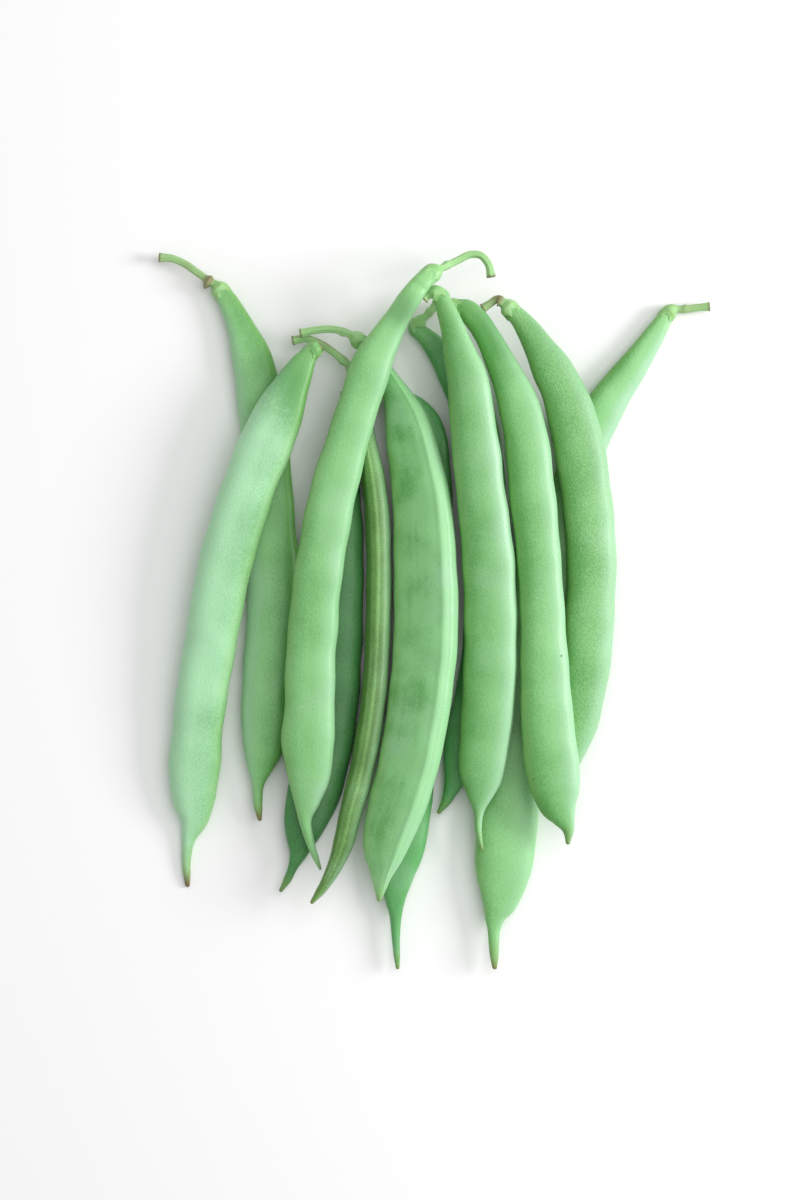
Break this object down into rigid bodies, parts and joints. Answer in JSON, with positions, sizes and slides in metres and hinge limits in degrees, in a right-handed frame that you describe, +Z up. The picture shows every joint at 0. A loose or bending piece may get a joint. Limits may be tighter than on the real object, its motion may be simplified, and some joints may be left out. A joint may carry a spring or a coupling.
{
  "type": "green bean bundle",
  "caption": "Loose bundle of flat green bean pods with cut stalks and thin beaks, lying on a surface as one bunch.",
  "frame": {"origin": "on the surface, under the middle of the bunch's box", "axes": "+Y towards the stalks, +X to the right seen from above, +Z up"},
  "size_m": [0.1662, 0.2163, 0.0249],
  "materials": {
    "pale_skin": "pale waxy pod skin, satin",
    "green_skin": "mid green waxy pod skin, satin",
    "deep_skin": "deep green waxy pod skin, satin",
    "seam_skin": "green skin beside a light double seam, satin",
    "mottled_skin": "light green skin mottled over the seeds, satin",
    "grainy_skin": "green skin with a fine grain and a yellow-green edge, satin"
  },
  "bodies": {
    "root": {"pod_a": "pale_skin", "pod_b": "green_skin", "pod_c": "green_skin", "pod_d": "deep_skin", "pod_e": "seam_skin", "pod_f": "mottled_skin", "pod_g": "deep_skin", "pod_h": "deep_skin", "pod_i": "green_skin", "pod_j": "green_skin", "pod_k": "green_skin", "pod_l": "grainy_skin", "pod_m": "green_skin"}
  },
  "joints": []
}
